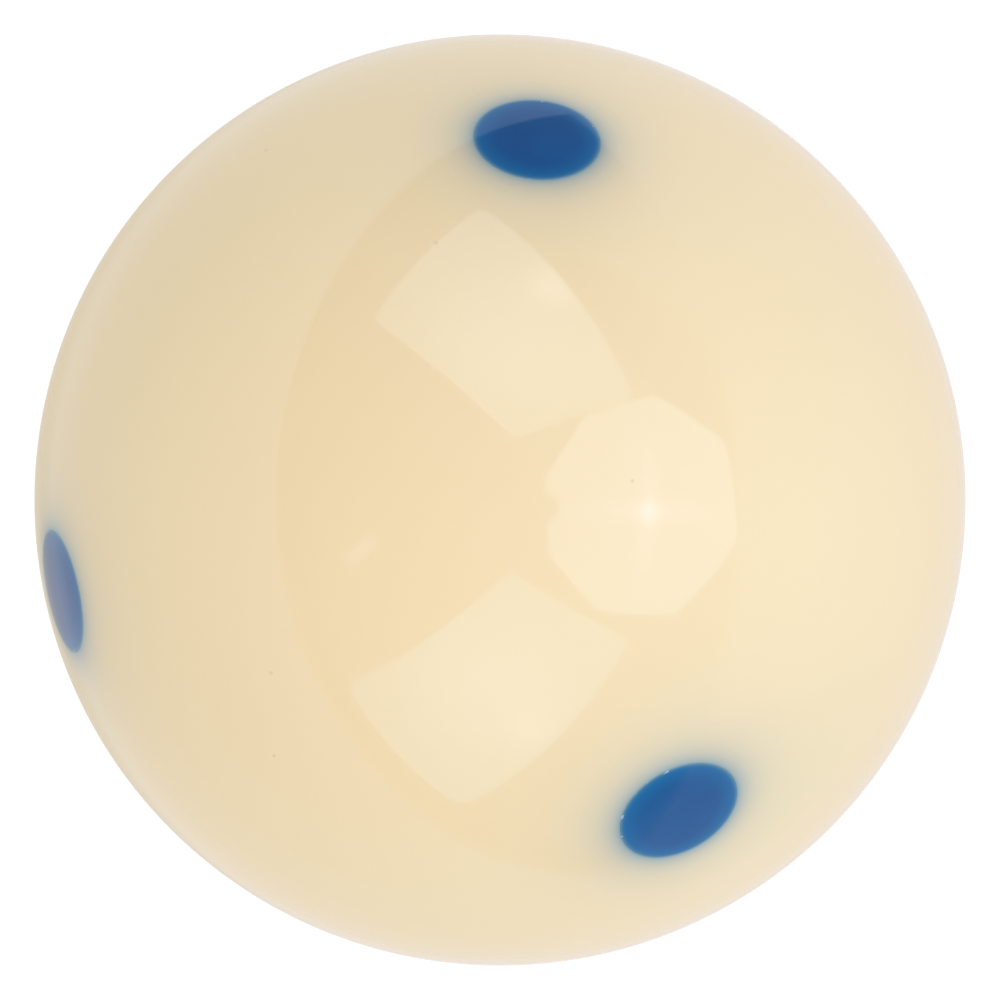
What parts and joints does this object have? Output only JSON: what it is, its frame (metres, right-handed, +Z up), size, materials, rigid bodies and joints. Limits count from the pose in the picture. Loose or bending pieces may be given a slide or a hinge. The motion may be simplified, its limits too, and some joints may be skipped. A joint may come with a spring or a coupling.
{
  "type": "cue ball",
  "caption": "Solid cream resin cue ball with round blue resin spots inlaid flush at the ends of its three square axes, so that its spin can be seen.",
  "frame": {"origin": "centre of the ball", "axes": "each row axis runs through the centres of two opposite spots: +Z up through the top spot, -Y out through the front spot, +X out through the right spot"},
  "size_m": [0.0572, 0.0572, 0.0572],
  "materials": {
    "resin_cream": "polished",
    "resin_blue": "polished"
  },
  "bodies": {
    "root": {"ball_body": "resin_cream", "spot_inlay_top": "resin_blue", "spot_inlay_bottom": "resin_blue", "spot_inlay_front": "resin_blue", "spot_inlay_back": "resin_blue", "spot_inlay_left": "resin_blue", "spot_inlay_right": "resin_blue"}
  },
  "joints": []
}
